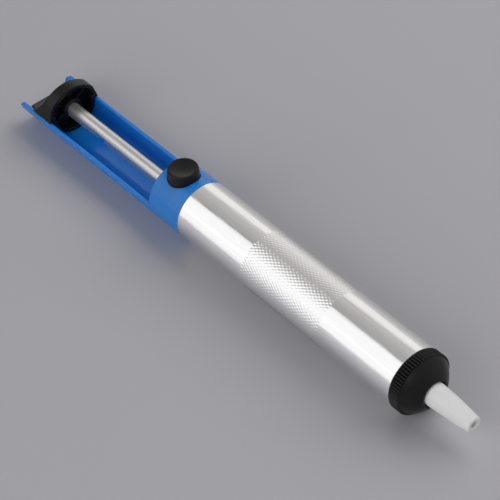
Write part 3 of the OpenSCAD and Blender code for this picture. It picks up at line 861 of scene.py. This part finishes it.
class PUMP_OT_nozzle(bpy.types.Operator):
    """Nozzle: a tapered outline turned about the axis, with a flange, a rounded tip and a bore"""

    bl_idname = "pump.nozzle"
    bl_label = "Nozzle"

    def execute(self, context):
        shape = context.scene.pump_shape
        back, tip = float(NOZZLE_LOW[0]), float(NOZZLE_HIGH[0])
        flange = float(NOZZLE_HIGH[1])
        face = float(CAP_HIGH[0])
        bore = shape.nozzle_bore
        bore_joint = back + 1 * MM
        flange_front = back + 2 * MM
        edge, tip_edge, bore_edge = 0.2 * MM, 0.6 * MM, 0.3 * MM
        rear = outline(
            [[bore_joint, bore], [back, bore], [back, flange], [flange_front, flange],
             [flange_front, shape.nozzle_radius], [face, shape.nozzle_radius]],
            [0, edge, edge, edge, 0, 0])
        share = np.linspace(0, 1, 15)[1:-1]
        bulge = 4 * shape.nozzle_bulge * share * (1 - share)
        taper = shape.nozzle_radius + (shape.tip_radius - shape.nozzle_radius) * share + bulge
        body = np.stack([face + (tip - face) * share, taper], -1)
        front = outline([body[-1], [tip, shape.tip_radius], [tip, bore], [bore_joint, bore]],
                        [0, tip_edge, bore_edge, 0], 8)
        line = np.concatenate([rear, body, front[1:]])
        piece = solid("nozzle_taper", [(round_x(line[:, :1], line[:, 1:], around(128)), True, True)])
        dress(piece, "cap", "white_ptfe", "nozzle")
        return {"FINISHED"}


class PUMP_OT_button(bpy.types.Operator):
    """Release button: an outline turned about an upright axis, with a rounded edge and a shallow dish"""

    bl_idname = "pump.button"
    bl_label = "Release button"

    def execute(self, context):
        shape = context.scene.pump_shape
        top, low = float(BUTTON_HIGH[2]), float(BUTTON_LOW[2])
        head = AXIS_Z + 6.6 * MM
        stem = 2.4 * MM
        rim = 0.75 * MM
        edge, skirt_edge = 0.2 * MM, 0.6 * MM
        foot_pole, dish_pole = 0.05 * MM, 0.02 * MM
        radius = shape.button_radius
        skirt = AXIS_Z + BARREL_R + shape.skirt_rise
        side = outline([[low, foot_pole], [low, stem], [head, stem], [head, SKIRT_R], [skirt, SKIRT_R],
                        [top, radius], [top, radius - rim]],
                       [0, edge, edge, edge, skirt_edge, shape.button_round, 0], 8)
        share = np.linspace(0, 1, 16)[1:, None]
        dish_r = (radius - rim) * (1 - share) + dish_pole * share
        dish_z = top - shape.button_dish * (1 - (1 - share) ** 2)
        line = np.concatenate([side, np.concatenate([dish_z, dish_r], 1)])
        piece = solid("button_cap", [(round_z(line[:, :1], line[:, 1:], around(96), BUTTON_X), False, True)])
        dress(piece, "button", "black_plastic", "release_button")
        return {"FINISHED"}


def coil(low, high, mean, turns, wire, sides=12, per_turn=32):
    """A wound wire: a circle carried along a helix from low to high, as one array along and two across."""
    turn = np.linspace(0, 2 * math.pi * turns, int(per_turn * turns) + 1)[:, None]
    ring = around(sides)
    swing = mean + wire / 2 * np.cos(ring)
    rise = low + (high - low) * turn / turn[-1] + wire / 2 * np.sin(ring)
    return rise, swing * np.cos(turn), swing * np.sin(turn)


class PUMP_OT_springs(bpy.types.Operator):
    """Both springs: wire circles carried along helices"""

    bl_idname = "pump.springs"
    bl_label = "Springs"

    def execute(self, context):
        shape = context.scene.pump_shape
        wire = shape.spring_wire
        low, high = float(SPRING_LOW[0]), float(SPRING_HIGH[0])
        along, across, up = coil(low + wire / 2, high - wire / 2, float(SPRING_HIGH[1]) - wire / 2,
                                 shape.spring_turns, wire)
        main_spring = solid("suction_spring", [(np.stack([along, across, AXIS_Z + up], -1), False, True)])
        dress(main_spring, "housing", "spring_steel", "main_spring")
        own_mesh(main_spring)
        thin = shape.lifter_wire
        base, lift = float(LIFTER_LOW[2]), float(LIFTER_HIGH[2])
        rise, out, side = coil(base + thin / 2, lift - thin / 2, float(LIFTER_HIGH[1]) - thin / 2,
                               shape.lifter_turns, thin)
        lifter = solid("lifter_spring", [(np.stack([BUTTON_X + out, side, rise], -1), False, True)])
        dress(lifter, "housing", "spring_steel", "button_spring")
        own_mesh(lifter)
        return {"FINISHED"}


class PUMP_OT_inner_finishes(bpy.types.Operator):
    """Finishes of the inner pieces whose solids stay as they are"""

    bl_idname = "pump.inner_finishes"
    bl_label = "Inner finishes"

    def execute(self, context):
        by_slot = finishes()
        dressed = {"handle", "barrel", "main_spring", "button_spring", "plunger_rod", "plunger_knob",
                   "release_button", "front_cap", "nozzle"}
        for part in frame["record"]["subparts"]:
            if part["node"] in dressed:
                continue
            piece = frame["nodes"][part["node"]]
            for place in piece.material_slots:
                place.material = by_slot[part["material_slot"]]
        return {"FINISHED"}


def soft_box(name, centre, aim, width, height, level):
    """A flat soft light that shows as a panel of the given brightness in polished metal."""
    data = bpy.data.lights.new(name, "AREA")
    data.shape = "RECTANGLE"
    data.size = width
    data.size_y = height
    data.energy = level * math.pi * width * height
    lamp = bpy.data.objects.new(name, data)
    lamp.location = centre
    direction = np.array(aim, float) - np.array(centre, float)
    back = -direction / np.linalg.norm(direction)
    side = np.array([1.0, 0.0, 0.0]) - back[0] * back
    side /= np.linalg.norm(side)
    up = np.cross(back, side)
    lamp.rotation_euler = turned_frame(side, up, back)
    bpy.context.scene.collection.objects.link(lamp)
    return lamp


def turned_frame(side, up, back):
    """Turn angles of a frame whose X, Y and Z axes are side, up and back."""
    columns = mathutils.Matrix((side, up, back)).transposed()
    return columns.to_euler()


class PUMP_OT_stage(bpy.types.Operator):
    """Table top, soft lights, sky and camera"""

    bl_idname = "pump.stage"
    bl_label = "Stage"

    def execute(self, context):
        scene = context.scene
        stage = scene.pump_stage
        self.table(scene)
        self.lights(scene)
        azimuth, elevation = stage.azimuth, stage.elevation
        back = np.array([math.sin(azimuth) * math.cos(elevation), -math.cos(azimuth) * math.cos(elevation),
                         math.sin(elevation)])
        level = np.array([math.cos(azimuth), math.sin(azimuth), 0.0])
        upright = np.cross(back, level)
        side = level * math.cos(stage.roll) + upright * math.sin(stage.roll)
        up = np.cross(back, side)
        aim = np.array([SEAM_X + stage.aim_station, 0, AXIS_Z]) - stage.aim_side * side
        data = bpy.data.cameras.new("camera")
        data.sensor_width = 36.0
        data.lens = stage.lens
        data.clip_start = 0.01
        camera = bpy.data.objects.new("camera", data)
        camera.location = aim + back * stage.distance
        camera.rotation_euler = turned_frame(side, up, back)
        scene.collection.objects.link(camera)
        scene.camera = camera
        scene.view_settings.view_transform = "Standard"
        return {"FINISHED"}

    def table(self, scene):
        """A wide flat top at the part's lowest level."""
        half_side = 3.0
        tone_spread = 0.02
        reach = np.linspace(-half_side, half_side, 3)
        x, y = np.meshgrid(reach, reach, indexing="ij")
        grid = np.stack([x, y, np.full_like(x, CAD_BOX[0][2])], -1)
        top = solid("table", [(grid, False, False)])
        material, tree, shader = finish_tree("table_top")
        grain = place_group(tree, grain_group(), {"Grain Scale": 900.0, "Patch Scale": 2.0})
        colour = tuple(scene.pump_colours.floor)
        dark, light = shade(colour, 1 - tone_spread), shade(colour, 1 + tone_spread)
        tone = tinted(tree, grain.outputs["Patches"], dark, light)
        tree.links.new(tone, shader.inputs["Base Color"])
        shader.inputs["Roughness"].default_value = 0.3
        top.data.materials.append(material)

    def lights(self, scene):
        """A panel, a low card and a strip that show in the metal, a far window, a near fill and the sky."""
        aim = (0.0, 0.0, AXIS_Z)
        panel = soft_box("near_panel", (-0.05, -0.56, 0.66), aim, width=1.9, height=0.74, level=0.74)
        card = soft_box("near_card", (-0.06, -0.25, 0.066), aim, width=0.30, height=0.13, level=0.74)
        fill = soft_box("near_fill", (0.15, -0.85, 0.48), aim, width=1.0, height=0.8, level=1.9)
        panel.visible_diffuse = False
        card.visible_diffuse = False
        fill.visible_glossy = False
        soft_box("far_strip", (-0.63, 0.775, 0.47), aim, width=1.5, height=0.51, level=0.34)
        window = soft_box("far_window", (0.20, 0.75, 0.85), aim, width=1.2, height=1.0, level=1.75)
        window.visible_glossy = False
        world = bpy.data.worlds.new("sky")
        world.use_nodes = True
        tree = world.node_tree
        sky = tree.nodes["Background"]
        place = tree.nodes.new("ShaderNodeTexCoord")
        parts = tree.nodes.new("ShaderNodeSeparateXYZ")
        tree.links.new(place.outputs["Generated"], parts.inputs["Vector"])
        slope = tree.nodes.new("ShaderNodeMapRange")
        slope.inputs["From Min"].default_value = -0.25
        slope.inputs["From Max"].default_value = 0.65
        tree.links.new(parts.outputs["Y"], slope.inputs["Value"])
        near_sky, far_sky = (0.36, 0.35, 0.34), (0.60, 0.58, 0.56)
        tone = tinted(tree, slope.outputs["Result"], near_sky, far_sky)
        tree.links.new(tone, sky.inputs["Color"])
        ray = tree.nodes.new("ShaderNodeLightPath")
        strength = between(tree, ray.outputs["Is Glossy Ray"], low=0.3, high=1.0)
        tree.links.new(strength, sky.inputs["Strength"])
        scene.world = world


class PUMP_PT_panel(bpy.types.Panel):
    """Sidebar list of the pieces"""

    bl_idname = "PUMP_PT_panel"
    bl_label = "Pump"
    bl_space_type = "VIEW_3D"
    bl_region_type = "UI"
    bl_category = "Pump"

    def draw(self, context):
        for operator in OPERATORS:
            self.layout.operator(operator.bl_idname)
        for group in (context.scene.pump_shape, context.scene.pump_colours, context.scene.pump_stage):
            for name in group.bl_rna.properties.keys():
                if name not in {"rna_type", "name"}:
                    self.layout.prop(group, name)


OPERATORS = (PUMP_OT_barrel, PUMP_OT_trough, PUMP_OT_collar, PUMP_OT_knob, PUMP_OT_rod, PUMP_OT_cap,
             PUMP_OT_nozzle, PUMP_OT_button, PUMP_OT_springs, PUMP_OT_inner_finishes, PUMP_OT_stage)
CLASSES = (PumpShape, PumpColours, PumpStage) + OPERATORS + (PUMP_PT_panel,)


def register():
    for item in CLASSES:
        bpy.utils.register_class(item)
    bpy.types.Scene.pump_shape = bpy.props.PointerProperty(type=PumpShape)
    bpy.types.Scene.pump_colours = bpy.props.PointerProperty(type=PumpColours)
    bpy.types.Scene.pump_stage = bpy.props.PointerProperty(type=PumpStage)


def unregister():
    del bpy.types.Scene.pump_stage
    del bpy.types.Scene.pump_colours
    del bpy.types.Scene.pump_shape
    for item in reversed(CLASSES):
        bpy.utils.unregister_class(item)


def main():
    """Builds every piece in order."""
    register()
    for operator in OPERATORS:
        group, name = operator.bl_idname.split(".")
        getattr(getattr(bpy.ops, group), name)()


if __name__ == "__main__":
    main()
